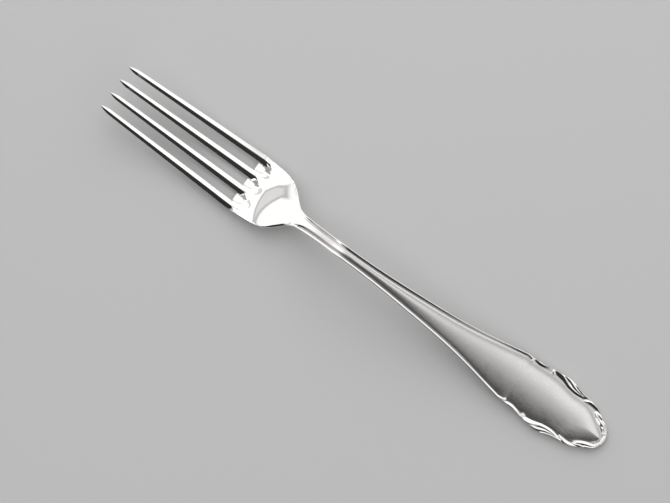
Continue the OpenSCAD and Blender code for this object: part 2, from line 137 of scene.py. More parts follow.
# Strokes of the border: place along it, share of half the end's width, half widths towards the
# edge and the panel as shares of a stroke's width, and share of the relief's height
HOOK_STROKES = [[(-0.07, 0.828, 0.3, 0.5, 0.765), (-0.045, 0.826, 0.3, 0.5, 0.765),
                 (-0.025, 0.812, 0.36, 0.5, 0.77), (-0.012, 0.786, 0.4, 0.44, 0.8),
                 (-0.006, 0.758, 0.4, 0.38, 0.8), (-0.006, 0.735, 0.3, 0.3, 0.6)]]
BRACKET_STROKES = [[(0.012, 0.852, 0.35, 0.45, 0.7), (0.03, 0.848, 0.5, 0.7, 0.85),
                    (0.07, 0.843, 0.5, 0.85, 0.95), (0.11, 0.856, 0.48, 0.8, 0.95),
                    (0.16, 0.893, 0.42, 0.75, 0.85), (0.2, 0.93, 0.3, 0.6, 0.72)]]
LEAF_STROKES = [
    [(0.236, 0.83, 0.4, 0.4, 0.7), (0.221, 0.845, 0.45, 0.4, 0.95), (0.212, 0.872, 0.42, 0.4, 1),
     (0.222, 0.915, 0.45, 0.6, 1), (0.25, 0.942, 0.4, 1.1, 1), (0.285, 0.945, 0.42, 1.35, 1),
     (0.318, 0.93, 0.45, 1.35, 1), (0.355, 0.88, 0.5, 1.15, 0.95), (0.4, 0.815, 0.55, 0.95, 0.9),
     (0.45, 0.77, 0.6, 0.85, 0.85), (0.51, 0.75, 0.65, 0.8, 0.85), (0.57, 0.765, 0.6, 0.7, 0.8),
     (0.625, 0.79, 0.4, 0.5, 0.6)],
    [(0.33, 0.975, 0.3, 0.35, 0.75), (0.365, 0.965, 0.5, 0.5, 0.95), (0.4, 0.945, 0.6, 0.6, 1),
     (0.44, 0.895, 0.65, 0.65, 1), (0.49, 0.835, 0.6, 0.65, 0.95), (0.55, 0.8, 0.5, 0.6, 0.85),
     (0.62, 0.79, 0.35, 0.4, 0.65)],
    [(0.45, 0.955, 0.28, 0.3, 0.7), (0.475, 0.93, 0.45, 0.45, 0.9), (0.52, 0.88, 0.5, 0.5, 0.95),
     (0.58, 0.835, 0.45, 0.5, 0.9), (0.655, 0.805, 0.3, 0.35, 0.6)]]
SCROLL_STROKES = [[(0.617, 0.685, 0.25, 0.3, 0.6), (0.642, 0.715, 0.5, 0.45, 0.95),
                   (0.677, 0.755, 0.6, 0.8, 1), (0.712, 0.762, 0.6, 0.9, 1),
                   (0.747, 0.745, 0.55, 0.85, 1), (0.782, 0.7, 0.5, 0.7, 0.9),
                   (0.822, 0.635, 0.35, 0.4, 0.6)]]
END_LEAF_STROKES = [
    [(0.775, 0.63, 0.35, 0.4, 0.7), (0.8, 0.6, 0.5, 0.5, 0.95), (0.84, 0.56, 0.5, 0.5, 0.95),
     (0.885, 0.51, 0.35, 0.4, 0.7)],
    [(0.772, 0.6, 0.4, 0.4, 0.7), (0.795, 0.54, 0.6, 0.7, 1), (0.83, 0.475, 0.75, 0.9, 1),
     (0.87, 0.42, 0.85, 0.95, 1), (0.91, 0.375, 0.75, 0.85, 1), (0.94, 0.315, 0.6, 0.6, 0.95),
     (0.958, 0.25, 0.5, 0.45, 0.95), (0.963, 0.205, 0.5, 0.45, 1), (0.957, 0.165, 0.35, 0.3, 0.7)],
    [(0.87, 0.505, 0.35, 0.4, 0.8), (0.905, 0.455, 0.45, 0.5, 0.95), (0.94, 0.385, 0.45, 0.45, 0.9),
     (0.975, 0.275, 0.35, 0.35, 0.7)]]
SHELL_STROKES = [[(0.968, -0.2, 0.3, 0.3, 0.6), (0.976, -0.12, 0.5, 0.5, 0.95),
                  (0.979, 0, 0.6, 0.6, 1), (0.976, 0.12, 0.5, 0.5, 0.95),
                  (0.968, 0.2, 0.3, 0.3, 0.6)]]

# Lamps: parts along and across the fork of the direction to the middle of each, its spread both
# ways in degrees, its brightness and its distance. The silver doesn't mirror the last one
SOFT_BOXES = {
    "overhead": (-0.28, 0, 18, 64, 1.1, 2),
    "right": (0.22, 0.2, 27, 20, 0.95, 2),
    "table": (-0.35, 0.6, 40, 40, 1.7, 0.8),
}
# Brightness of the room from the fork's left to its right
ROOM_ACROSS = [(0, 0.035), (0.1, 0.035), (0.2, 0.01), (0.35, 0.015), (0.44, 0.06), (0.5, 0.22),
               (0.6, 0.42), (0.8, 0.45), (0.86, 0.8), (0.89, 1.25)]
# White cards beyond the tines, each with a straight edge: weights of the same two parts in the
# depth inside it, and what is added. A corner is cut off the far card
CARDS = {"overhead": (1, 0, 0.45), "far": (-1, 0.55, -0.67), "corner": (0.78, -0.6, 0.317)}
FAR_CUT = 0.05
# Brightness of the cards from their edge inwards, and that of the one behind the handle's end
CARD_EDGE = [(0.3, 0.82), (0.4, 0.55), (0.44, 0.55), (0.52, 1.17)]
END_CARD = 0.8
# Low card: upright part of the direction to its foot and top, slant of its edge with its growth
# and limit, and brightness where it's dim and where it's grey
LOW_CARD_FOOT, LOW_CARD_TOP = 0.22, 0.42
LOW_CARD_SLANT = (0.23, 1.2, 0.12)
LOW_CARD_DIM, LOW_CARD_GREY = 0.3, 0.35


def length(name, description, default):
    """Property that holds a length, with its default in millimetres."""
    return FloatProperty(
        name=name, description=description, default=default * MM, min=0, unit="LENGTH")


class ForkSizes(bpy.types.PropertyGroup):
    """Sizes of the fork's plain regions"""

    tip_pitch: length("Tip pitch", "Distance between tine centres at the points", 5.4)
    root_pitch: length("Root pitch", "Distance between tine centres at the slot ends", 6.4)
    tine_tip_w: length("Tine tip width", "Width of a tine just behind its point", 1.9)
    tine_root_w: length("Tine root width", "Width of a tine at the slot ends", 3.1)
    tine_tip_t: length("Tine tip thickness", "Thickness of a tine at its point", 1.7)
    tine_root_t: length("Tine root thickness", "Thickness of a tine at the slot ends", 2.8)
    point_len: length("Point length", "Length of a tine's ground point", 4.4)
    palm_t: length("Palm thickness", "Thickness of the palm at the neck", 3)
    palm_dish: length("Palm dish", "Rise of the palm's edges above its middle", 1.6)
    bevel_len: length("Bevel length", "Length of the bevel behind each slot end", 5.4)
    gouge_len: length("Gouge length", "Length of the gouge behind each slot end", 5.1)
    neck_w: length("Neck width", "Width of the neck at its narrowest", 4.8)
    neck_bed_t: length("Neck bed", "Height of the thread bed above the back at the neck", 3.3)
    handle_w: length("Handle width", "Width of the handle where the threads end", 18.6)
    end_bed_t: length("End bed", "Height of the thread bed above the back at the end", 1.7)
    shoulder_w: length("Shoulder bevel", "Width of the bevel along the shoulders", 1.35)
    neck_drop: length("Neck rounding", "Drop of the neck's sides before its crown", 0.35)
    crown_h: length("Crown", "Height of the crowned panel above the thread bed", 1.1)
    panel_step: length("Panel step", "Height of the panel's edge above the thread bed", 0.13)
    groove_w: length("Groove", "Width of the groove between thread and panel", 0.35)
    tip_rise: length("Tip rise", "Height of the points above the table", 12)
    belly_back: length("Belly", "Distance from the slot ends back to the lowest place", 2)
    neck_rise: length("Neck rise", "Height of the back of the neck above the table", 13.5)
    arch_back: length("Arch", "Distance from the neck back to the top of the arch", 8)
    flat_len: length("Flat", "Length of the flat back under the end", 14)
    edge_round: length("Edge rounding", "Radius along the edges of the plate", 0.5)
    ridge_round: length("Ridge rounding", "Height over which a ridge is buffed round", 0.16)


class BorderSizes(bpy.types.PropertyGroup):
    """Sizes of the threads and of the scrolled border"""

    border_len: length("Border", "Length of the scrolled border", 35.7)
    thread_w: length("Thread width", "Width of the raised thread", 0.7)
    thread_h: length("Thread height", "Height of the thread above its bed", 0.65)
    scroll_h: length("Relief height", "Height of scrolls and leaves above their bed", 0.85)
    stroke_w: length("Stroke width", "Width of one stroke of a scroll", 1)


class FinishSettings(bpy.types.PropertyGroup):
    """Colours and finishes"""

    silver: FloatVectorProperty(
        name="Silver", description="Colour of polished silver", subtype="COLOR",
        default=(0.9, 0.885, 0.87), min=0, max=1)
    satin: FloatVectorProperty(
        name="Satin", description="Colour of satin silver", subtype="COLOR",
        default=(0.71, 0.695, 0.69), min=0, max=1)
    polish_roughness: FloatProperty(
        name="Polish", description="Roughness of the polished silver", default=0.045,
        subtype="FACTOR")
    satin_roughness: FloatProperty(
        name="Satin roughness", description="Roughness of the satin silver", default=0.29,
        subtype="FACTOR")


class StageSettings(bpy.types.PropertyGroup):
    """Table, camera and lamps"""

    table: FloatVectorProperty(
        name="Table", description="Colour of the table", subtype="COLOR",
        default=(0.5, 0.5, 0.5), min=0, max=1)
    camera_height: length("Camera height", "Height of the camera above the table", 6000)
    pixel: length("Pixel", "Width on the table of one pixel of the picture", 0.3408)
    picture_w: IntProperty(name="Picture width", description="Width of the picture", default=670)
    picture_h: IntProperty(name="Picture height", description="Height of the picture", default=503)
    light: FloatProperty(
        name="Light", description="Brightness of the lamps and of the room", default=1, min=0)


def mix(a, b, t):
    return a + (b - a) * t


def clamped(t):
    return np.clip(t, 0, 1)


def smooth(t):
    t = clamped(t)
    return t * t * (3 - 2 * t)


def step(value, start, end):
    """Soft step from 0 at the start to 1 at the end."""
    return smooth((value - start) / (end - start))


def least(a, b, k):
    """Smaller of two heights, with the crease between them rounded over a difference of k."""
    near = np.maximum(k - np.abs(a - b), 0) / k
    return np.minimum(a, b) - near * near * k / 4


def most(a, b, k):
    """Larger of two heights, rounded in the same way."""
    return -least(-a, -b, k)


def spline(points):
    """Natural cubic spline through (x, value) points, as a function of x."""
    x, y = np.array(points, float).T
    run = np.diff(x)
    count = len(x)
    matrix = np.eye(count)
    right = np.zeros(count)
    for i in range(1, count - 1):
        matrix[i, i - 1 : i + 2] = run[i - 1], 2 * (run[i - 1] + run[i]), run[i]
        right[i] = 6 * ((y[i + 1] - y[i]) / run[i] - (y[i] - y[i - 1]) / run[i - 1])
    bend = np.linalg.solve(matrix, right)

    def at(place):
        k = np.clip(np.searchsorted(x, place) - 1, 0, count - 2)
        t, u, h = place - x[k], x[k + 1] - place, run[k]
        curved = (bend[k] * u**3 + bend[k + 1] * t**3) / (6 * h)
        return curved + (y[k] / h - bend[k] * h / 6) * u + (y[k + 1] / h - bend[k + 1] * h / 6) * t

    return at


def spread(start, end, steps):
    """Evenly spaced places."""
    return np.linspace(start, end, steps + 1)


def crowded(start, end, steps):
    """Places that crowd towards the end."""
    return start + (end - start) * np.sin(np.linspace(0, math.pi / 2, steps + 1))


def run_of(*parts):
    """One rising row of places from several that share their ends."""
    return np.concatenate([parts[0]] + [part[1:] for part in parts[1:]])


class Form:
    """The fork's surfaces as functions of s and y, from the sizes in the scene."""

    def __init__(self, context):
        self.size = context.scene.fork_sizes
        self.border = context.scene.border_sizes
        size, border = self.size, self.border
        self.border_s = END_S - border.border_len
        self.belly_s = PALM_S + size.belly_back
        self.arch_s = STEM_S + size.arch_back
        self.flat_s = END_S - size.flat_len
        half_neck, half_head = size.neck_w / 2, HEAD_W / 2
        half_handle, half_end = size.handle_w / 2, END_W / 2
        straight = [(s, (3 * self.pitch(s) + self.tine_w(s)) / 2)
                    for s in (0, PALM_S - 12 * MM, PALM_S - 6 * MM)]
        palm = [(mix(PALM_S, NECK_S, a), mix(half_neck, half_head, b)) for a, b in PALM_SHARES]
        neck = [(mix(NECK_S, STEM_S, a), mix(half_neck, half_head, b)) for a, b in NECK_SHARES]
        flare = [(mix(STEM_S, self.border_s, a), mix(half_neck, half_handle, b))
                 for a, b in FLARE_SHARES]
        end = [(mix(self.border_s, END_S, a), b * half_end) for a, b in END_SHARES]
        side = straight + [(PALM_S, half_head)] + palm + neck + flare + end
        squares = [(s, y * y) for s, y in end] + [(END_S, 0)]
        self.side_curve = spline(side)
        self.end_curve = spline(squares)
        self.round_s = mix(self.border_s, END_S, END_SHARES[-4][0])
        self.panel_curve = spline(
            [(mix(self.border_s, END_S, a), b * half_end) for a, b in PANEL_SHARES])
        self.wall = 1 - size.tine_root_w / size.root_pitch
        self.edge = self.edge_points()

    def pitch(self, s):
        return mix(self.size.tip_pitch, self.size.root_pitch, clamped(s / PALM_S))

    def tine_w(self, s):
        share = clamped((s - self.size.point_len) / (PALM_S - self.size.point_len))
        return mix(self.size.tine_tip_w, self.size.tine_root_w, share)

    def half_w(self, s):
        """Half width of the fork. Near the end the square of the width runs out to nothing."""
        rounded = np.sqrt(np.maximum(self.end_curve(np.maximum(s, self.border_s)), 0))
        return mix(self.side_curve(np.minimum(s, END_S)), rounded,
                   step(s, self.round_s, self.round_s + 3 * MM))

    def panel_half(self, s):
        inside = self.half_w(s) - self.border.thread_w - self.size.groove_w
        along = self.panel_curve(np.clip(s, self.border_s, END_S))
        return np.where(s < self.border_s, inside, np.maximum(np.minimum(inside, along), 0))

    def back(self, s):
        """Height of the back on the centre line."""
        size = self.size
        tines = size.tip_rise * ((self.belly_s - s) / self.belly_s) ** 2
        rise = size.neck_rise * step(s, self.belly_s, self.arch_s)
        fall = size.neck_rise * step(s, self.flat_s, self.arch_s)
        return np.where(s < self.belly_s, tines, np.where(s < self.arch_s, rise, fall))

    def dish(self, s):
        """Rise of the edges of tines and palm above their middle."""
        return self.size.palm_dish * step(s, 0, PALM_S) * (1 - step(s, self.belly_s, NECK_S))

    def back_at(self, s, y):
        """Height of the back."""
        return self.back(s) + self.dish(s) * (y / np.maximum(self.half_w(s), MM)) ** 2

    def plate_t(self, s):
        """Thickness of tines and palm."""
        size = self.size
        tines = mix(size.tine_tip_t, size.tine_root_t, clamped(s / PALM_S))
        palm = mix(size.tine_root_t, size.palm_t, step(s, PALM_S, NECK_S))
        return np.where(s < PALM_S, tines, palm)

    def bevel(self, reach):
        """Height of the slope between slot and ridge, by the distance from the slot's middle."""
        return mix(1, SIDE_SHARE, (1 - reach) / (1 - self.wall))

    def growth(self, s):
        """How far the thread bed and the crown have grown out of the palm."""
        return step(s, NECK_S, mix(NECK_S, STEM_S, GROWTH_SHARE))

    def shoulder_fall(self, s, y):
        """Drop of the bevel along the shoulders, and of the neck's sides before its crown grows."""
        half = self.half_w(s)
        along = s - NECK_S
        width = self.size.shoulder_w * step(along, *BEVEL_GROWS) * (1 - step(along, *BEVEL_FADES))
        bevel = BEVEL_SLOPE * (width - half + np.abs(y))
        arched = step(along, *NECK_ROUNDS) * (1 - self.growth(s))
        across = y / np.maximum(half, TINY)
        return most(bevel, 0 * bevel, 0.12 * MM) + self.size.neck_drop * arched * across**2

    def bed_t(self, s):
        """Thickness from the back to the thread bed."""
        size = self.size
        grown = mix(size.neck_bed_t, size.end_bed_t, step(s, STEM_S, self.border_s))
        return mix(size.palm_t, grown, self.growth(s))

    def bed(self, s):
        """Height of the thread bed."""
        return self.back(s) + self.bed_t(s)

    def crown(self, s, y):
        """Height of the panel above the thread bed, which falls to nothing beyond its edge."""
        size = self.size
        half = self.panel_half(s)
        across = clamped(np.abs(y) / np.maximum(half, 0.3 * MM))
        power = mix(*CROWN_POWERS, step(s - END_S, *CROWN_PEAKS))
        fall = mix(across**power, across**RIM_POWER, RIM_SHARE)
        inside = mix(size.crown_h, size.panel_step, fall)
        wall = clamped((half + size.groove_w - np.abs(y)) / size.groove_w)
        return self.growth(s) * inside * wall * (1 - step(s - END_S, *CROWN_STOPS))

    def edge_points(self):
        """Points along the handle's right-hand edge, evenly spaced from the neck to the end."""
        s = run_of(spread(NECK_S, self.round_s, 3000), crowded(self.round_s, END_S, 900))
        y = self.half_w(s)
        y[-1] = 0
        steps = np.hypot(np.diff(s), np.diff(y))
        walked = np.concatenate([[0], np.cumsum(steps)])
        places = np.linspace(0, walked[-1], 4000)
        return np.stack([np.interp(places, walked, s), np.interp(places, walked, y)], 1)

    def edge_distance(self, s, y):
        """Distance in from the handle's edge."""
        tree = KDTree(2 * len(self.edge))
        for i, (along, across) in enumerate(self.edge):
            tree.insert((along, across, 0), 2 * i)
            tree.insert((along, -across, 0), 2 * i + 1)
        tree.balance()
        flat = zip(s.ravel(), y.ravel())
        return np.array([tree.find((a, b, 0))[2] for a, b in flat]).reshape(s.shape)


def placed(s, y, z):
    """Points of the frame from distances behind the tine tips."""
    return np.stack(np.broadcast_arrays(s + TIP_X, y, z), -1)


def aimed(point, right, up, back):
    """Place of a lamp or a camera at the point, which looks away from back."""
    return Matrix.Translation(point) @ Matrix((right, up, back)).transposed().to_4x4()


def deselect():
    if bpy.context.object and bpy.context.object.mode != "OBJECT":
        bpy.ops.object.mode_set(mode="OBJECT")
    bpy.ops.object.select_all(action="DESELECT")


def shell(name, rings):
    """Closed piece through rings of points with equal counts.

    A grid is added, its rows are laid on the rings, its long seam is merged, and each end that is
    open is filled and made triangles.
    """
    if not np.isfinite(rings).all():
        raise ValueError(f"{name} has points without a place")
    rows, around, _ = rings.shape
    deselect()
    bpy.ops.mesh.primitive_grid_add(x_subdivisions=around, y_subdivisions=rows - 1)
    piece = bpy.context.object
    piece.name = piece.data.name = name
    wrapped = np.concatenate([rings, rings[:, :1]], 1)
    piece.data.vertices.foreach_set("co", wrapped.astype(np.float32).ravel())
    bpy.ops.object.mode_set(mode="EDIT")
    bpy.ops.mesh.select_mode(type="EDGE")
    bpy.ops.mesh.select_all(action="SELECT")
    bpy.ops.mesh.remove_doubles(threshold=1e-7)
    bpy.ops.mesh.dissolve_degenerate(threshold=1e-8)
    middle = rings[rows // 2, :, 0].mean()
    for front in (True, False):
        bpy.ops.mesh.select_all(action="DESELECT")
        mesh = bmesh.from_edit_mesh(piece.data)
        open_edges = [e for e in mesh.edges if e.is_boundary
                      and (sum(v.co.x for v in e.verts) / 2 < middle) == front]
        for e in open_edges:
            e.select_set(True)
        bmesh.update_edit_mesh(piece.data)
        if open_edges:
            bpy.ops.mesh.edge_face_add()
            bpy.ops.mesh.quads_convert_to_tris()
    bpy.ops.mesh.select_all(action="SELECT")
    bpy.ops.mesh.normals_make_consistent(inside=False)
    if bmesh.from_edit_mesh(piece.data).calc_volume(signed=True) < 0:
        bpy.ops.mesh.flip_normals()
    bpy.ops.object.mode_set(mode="OBJECT")
    bpy.ops.object.shade_smooth_by_angle(angle=math.radians(40))
    return piece


def joined(name, *parts):
    """One piece from several closed shells."""
    deselect()
    for part in parts:
        part.select_set(True)
    bpy.context.view_layer.objects.active = parts[0]
    bpy.ops.object.join()
    piece = bpy.context.object
    piece.name = piece.data.name = name
    return piece


def quarter_round(wall, radius):
    """Height of a rounded corner over its foot, by the distance in from its side."""
    return np.sqrt(np.maximum(radius**2 - np.maximum(radius - wall, 0) ** 2, 0))


def section(y, top, middle, span, low_r, side_points, back_points):
    """Rings from their tops: down one side, round the lower edge, along the back and up again."""
    low_r = low_r + 0 * span
    angle = np.linspace(0, math.pi / 2, ROUND_POINTS)[None, :]
    side_z = mix(top[:, :1], low_r, np.linspace(0, 1, side_points)[None, 1:-1])
    low_y = span - low_r + low_r * np.cos(angle)
    low_z = low_r - low_r * np.sin(angle)
    back_y = np.linspace(1, -1, back_points)[None, 1:-1] * (span - low_r)
    ys = np.concatenate([y, middle - span + 0 * side_z, middle - low_y, middle - back_y,
                         middle + low_y[:, ::-1], middle + span + 0 * side_z], 1)
    zs = np.concatenate([top, side_z, low_z, 0 * back_y, low_z[:, ::-1], side_z[:, ::-1]], 1)
    return ys, zs


def tine_rings(form, number):
    """Rings of one tine, which runs over a ridge and ends in a ground point."""
    size = form.size
    side = number - 2.5
    root_s = PALM_S - 1.5 * MM
    point = size.point_len * (1 - np.cos(np.linspace(0, math.pi / 2, 40)))
    s = run_of(point, spread(size.point_len, root_s, 110), spread(root_s, PALM_S, 14))[:, None]
    early = clamped(s / size.point_len)
    taper = np.maximum(early * (2 - early), 0) ** TAPER_POWER
    half = form.tine_w(s) / 2
    centre = side * form.pitch(s)
    reach = form.half_w(s)
    right = np.where(side > 1, reach, centre + half)
    left = np.where(side < -1, -reach, centre - half)
    t = form.plate_t(s)
    ridge_r = size.ridge_round * taper * mix(TIP_RIDGE_SHARE, 1, clamped(s / PALM_S) ** 2) + TINY
    across = np.sin(np.linspace(math.pi / 2, -math.pi / 2, TINE_POINTS))[None, :]
    middle, span = (right + left) / 2, (right - left) / 2
    y = middle + span * across
    slope = form.bevel(1 - np.abs(across) * (1 - form.wall)) * t
    ridge = least(slope, t + 0 * slope, ridge_r)
    round_r = np.minimum(size.edge_round * TINE_CORNER_SHARE, span)
    wall = span * (1 - np.abs(across))
    edge = SIDE_SHARE * t - CORNER_DROP * round_r + quarter_round(wall, round_r)
    top = np.where(wall < round_r, least(ridge, edge, ridge_r), ridge)
    low_r = np.minimum(size.edge_round * LOW_ROUND_SHARE, span * LOW_ROUND_LIMIT)
    ys, zs = section(y, top, middle, span, low_r, 5, 9)
    y_tapered = middle + (ys - middle) * taper
    z = form.back_at(s, y_tapered) + t * (1 - taper) / 2 + zs * taper
    return placed(s, y_tapered, z)


def palm_top(form, s, y):
    """Height of the palm above its back: plate, slot bevels, and the ramp behind each slot end."""
    size = form.size
    root_t = size.tine_root_t
    height = form.plate_t(s) + 0 * y
    ramp_half = RAMP_W_SHARE * form.wall * size.root_pitch / 2
    ramp_len = RAMP_LEN_SHARE * size.gouge_len
    for slot in range(-2, 3):
        across, along = y - slot * size.root_pitch, s - PALM_S
        reach = np.hypot(across / (size.root_pitch / 2), along / size.bevel_len)
        soft = mix(size.ridge_round, 3.2 * size.ridge_round, smooth(along / size.bevel_len))
        height = least(height, form.bevel(reach) * root_t, soft)
        if abs(slot) < 2:
            inside = ((np.abs(across) / ramp_half) ** RAMP_POWER
                      + (along / ramp_len) ** RAMP_POWER) ** (1 / RAMP_POWER)
            wall = np.maximum(inside - RAMP_WALL_SHARE, 0) * RAMP_WALL_SLOPE
            rise = along / size.gouge_len * RAMP_RISE_SHARE
            ramp = (mix(WEB_SHARE, 1, rise) + wall) * root_t
            height = least(height, ramp, size.ridge_round * 0.5)
    return height


def palm_rings(form):
    """Rings of the palm, close together over the gouges and crowded towards its edges."""
    size = form.size
    gouged_s = PALM_S + 5.6 * MM
    s = run_of(spread(PALM_S, gouged_s, 84), spread(gouged_s, NECK_S, 76))[:, None]
    half = form.half_w(s)
    flat = np.linspace(1, -1, PALM_POINTS)
    across = (np.sign(flat) * (1 - (1 - np.abs(flat)) ** 1.12))[None, :]
    y = half * across
    wall = half * (1 - np.abs(across))
    top = palm_top(form, s, y)
    corner = palm_top(form, s, half)
    behind = smooth((s - PALM_S) / size.bevel_len)
    round_r = size.edge_round * mix(0.2, 1, behind)
    edge = corner - CORNER_DROP * round_r * mix(1, CORNER_GROWTH, behind)
    edge = edge + quarter_round(wall, round_r)
    top = np.where(wall < round_r, least(top, edge, size.ridge_round), top)
    top = top - form.shoulder_fall(s, y)
    ys, zs = section(y, top, 0, half, size.edge_round * LOW_ROUND_SHARE, 6, 61)
    return placed(s, ys, form.back_at(s, ys) + zs)


def blank_rings(form, s, columns):
    """Rings of neck, stem or handle: crowned panel, groove, bed, edge and back."""
    size = form.size
    s = s[:, None]
    half = form.half_w(s)
    panel = np.minimum(form.panel_half(s), half)
    inner = np.linspace(1, 0, columns + 1)[None, :-1]
    band = np.linspace(1, 0, 13)[None, :-1] ** 1.4
    right = np.concatenate([panel + (half - panel) * band, panel * inner], 1)
    y = np.concatenate([right, 0 * half, -right[:, ::-1]], 1)
    top = form.bed_t(s) + form.crown(s, y)
    wall = half - np.abs(y)
    fresh = 1 - form.growth(s)
    lost = size.edge_round - quarter_round(wall, size.edge_round)
    top = top - lost * fresh - form.shoulder_fall(s, y)
    low_y = np.linspace(1, -1, 2 * columns + 1)[None, :]
    low_y = np.sign(low_y) * (1 - (1 - np.abs(low_y)) ** 1.6) * half
    depth = form.edge_distance(s + 0 * low_y, low_y)
    reach = np.minimum(size.edge_round, half)
    low_z = reach - quarter_round(depth, reach)
    side_z = mix(top[:, :1], low_z[:, :1], np.linspace(0, 1, 5)[None, 1:-1])
    ys = np.concatenate([y, -half + 0 * side_z, -low_y, half + 0 * side_z], 1)
    zs = np.concatenate([top, side_z, low_z, side_z[:, ::-1]], 1)
    z = np.where(s < NECK_S + TINY, form.back_at(s, ys), form.back(s)) + zs
    return placed(s, ys, z)


def satin_mask(form, piece):
    """Writes how satin the piece is at each point: the threads' bed and the edges stay polished."""
    count = len(piece.data.vertices)
    points = np.empty(count * 3, np.float32)
    piece.data.vertices.foreach_get("co", points)
    points = points.reshape(-1, 3).astype(float)
    s = points[:, 0] - TIP_X
    depth = form.edge_distance(s, points[:, 1])
    bare = BARE_SHARE * form.border.thread_w
    mask = step(s - NECK_S, *SATIN_STARTS) * step(depth, bare, bare + BARE_FADE)
    satin = piece.data.attributes.new("satin", "FLOAT", "POINT")
    satin.data.foreach_set("value", mask.astype(np.float32))


def stroke_height(form, strokes, s, y):
    """Height of a group of strokes above the bed, below nothing outside them."""
    border = form.border
    height = np.full(s.shape, -STROKE_SINK)
    for table in strokes:
        knots = np.array(table, float)
        place = np.linspace(0, len(knots) - 1, STROKE_STEPS * (len(knots) - 1) + 1)
        curves = [spline(list(enumerate(knots[:, column])))(place) for column in range(5)]
        spine_s = mix(form.border_s, END_S, curves[0])
        spine_y = curves[1] * END_W / 2
        step_s, step_y = np.gradient(spine_s), np.gradient(spine_y)
        pace = np.hypot(step_s, step_y)
        away_s = s[..., None] - spine_s
        away_y = y[..., None] - spine_y
        gap = np.hypot(away_s, away_y)
        sideways = (step_s * away_y - step_y * away_s) / (pace * np.maximum(gap, TINY))
        turn = smooth(sideways * 0.5 + 0.5)
        reach = border.stroke_w * mix(curves[3], curves[2], turn)
        fall = FLANK * (np.hypot(gap, STROKE_CREST_R) - STROKE_CREST_R)
        fall = fall + STROKE_SIDE * np.maximum(gap - reach, 0)
        ridge = curves[4] * border.scroll_h - fall
        height = most(height, ridge.max(-1), STROKE_BLEND)
    return height


def relief_rings(form, strokes, start, end, reach, rows, columns):
    """Rings of a relief along the right-hand edge, from one share of the border to another."""
    count = len(form.edge)
    first, last = (np.searchsorted(form.edge[:, 0], mix(form.border_s, END_S, share))
                   for share in (start, end))
    index = np.linspace(first, min(last, count - 1), rows)
    along, ahead = (np.stack([np.interp(index, range(count), part) for part in points.T], 1)
                    for points in (form.edge, np.gradient(form.edge, axis=0)))
    ahead /= np.hypot(ahead[:, :1], ahead[:, 1:])
    inward = np.stack([ahead[:, 1], -ahead[:, 0]], 1)
    depth = reach * np.linspace(0, 1, columns) ** 1.35

    def inside(away):
        return along[:, :1] + inward[:, :1] * away, along[:, 1:] + inward[:, 1:] * away

    s, y = inside(depth)
    foot_s, foot_y = inside(np.array([reach, STROKE_INSET]))
    raw = stroke_height(form, strokes, s, y)
    rounding = quarter_round(depth / CORNER_R, 1)
    height = np.where(raw > 0, raw * rounding, raw * clamped(depth / (0.1 * MM)))
    return np.concatenate([placed(s, y, form.bed(s) + height),
                           placed(foot_s, foot_y, form.bed(foot_s) - STROKE_FOOT)], 1)


def mirrored(rings):
    """The same rings on the left side, with their faces still outwards."""
    return rings[:, ::-1] * np.array([1, -1, 1])


def sides(*groups):
    """Name of each side, with the groups of rings for it."""
    return ("right", *groups), ("left", *map(mirrored, groups))


def thread_rings(form, end_share):
    """Half-round bead along the right-hand edge, from the neck to just before its hook."""
    border = form.border
    start_s = mix(NECK_S, STEM_S, THREAD_START)
    end_s = mix(form.border_s, END_S, end_share)
    s = spread(start_s, end_s, 560)[:, None]
    grown = form.growth(s)
    corner = 0.09 * MM
    depth = run_of(spread(0, corner, 5), spread(corner, border.thread_w, 22))[None, :]
    fall = FLANK * (np.hypot(depth - CREST_SHARE * border.thread_w, CREST_R) - CREST_R)
    drop = form.size.edge_round * (1 - grown) * clamped(1 - depth / form.size.edge_round) ** 2
    y = form.half_w(s) - depth
    rounding = quarter_round(depth / CORNER_R, 1)
    z = form.bed(s) + (border.thread_h - fall) * grown * rounding - drop
    foot_y = form.half_w(s) - np.array([[border.thread_w, THREAD_INSET]])
    foot_z = form.bed(s) - THREAD_FOOT + 0 * foot_y
    return placed(s, np.concatenate([y, foot_y], 1), np.concatenate([z, foot_z], 1))


def feed(slot, value):
    """Links a shader value to a node's socket, or writes a constant into it."""
    if isinstance(value, Socket):
        value.tree.links.new(value.output, slot)
    elif slot.type == "RGBA":
        shades = (value,) * 3 if isinstance(value, float) else value
        slot.default_value = (*shades, 1)
    else:
        slot.default_value = value


class Socket:
    """A shader value that can be added, multiplied and so on as in a formula."""

    def __init__(self, tree, output):
        self.tree = tree
        self.output = output

    def maths(self, operation, *others):
        node = self.tree.nodes.new("ShaderNodeMath")
        node.operation = operation
        for slot, value in zip(node.inputs, (self, *others)):
            feed(slot, value)
        return Socket(self.tree, node.outputs[0])

    def __add__(self, other):
        return self.maths("ADD", other)

    def __sub__(self, other):
        return self.maths("SUBTRACT", other)

    def __mul__(self, other):
        return self.maths("MULTIPLY", other)

    def least(self, other):
        return self.maths("MINIMUM", other)

    def most(self, other):
        return self.maths("MAXIMUM", other)

    __radd__ = __add__
    __rmul__ = __mul__

    def __rsub__(self, other):
        return (self * -1) + other


